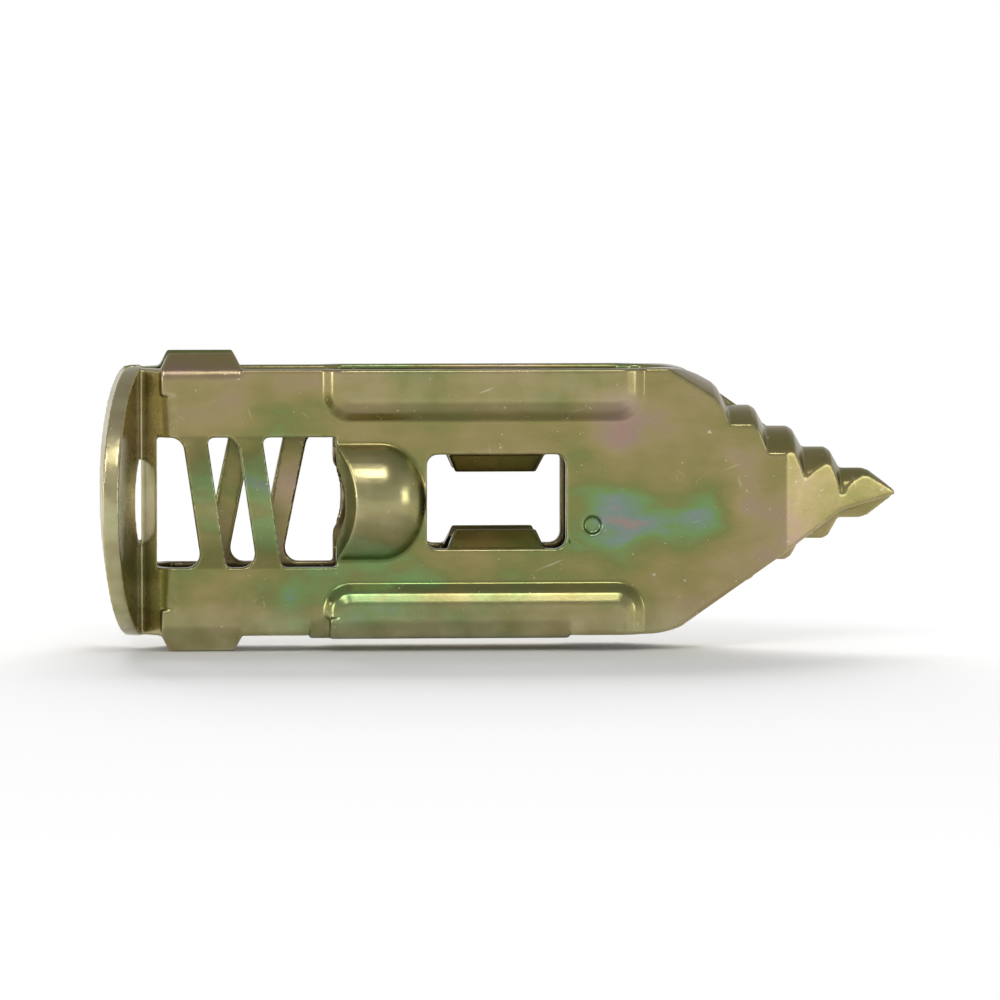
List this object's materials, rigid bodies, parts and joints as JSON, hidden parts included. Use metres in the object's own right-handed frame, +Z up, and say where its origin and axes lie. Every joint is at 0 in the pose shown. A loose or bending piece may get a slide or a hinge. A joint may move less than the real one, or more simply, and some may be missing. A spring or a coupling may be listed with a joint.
{
  "type": "hollow wall anchor",
  "caption": "Folded sheet-steel wall anchor: half-round head flanges, twin slotted plates that spread on a driven screw, and a toothed conical tip that drills its own hole.",
  "frame": {"origin": "centre of the screw hole, where the two head flanges fold off the neck", "axes": "+X along the screw axis from the head to the drilling tip, +Z up across the width, the front plate faces -Y"},
  "size_m": [0.0406, 0.0138, 0.0152],
  "materials": {
    "yellow_zinc": "yellow passivated zinc plating with a faint green and pink sheen"
  },
  "bodies": {
    "root": {"anchor_body": "yellow_zinc"}
  },
  "joints": []
}
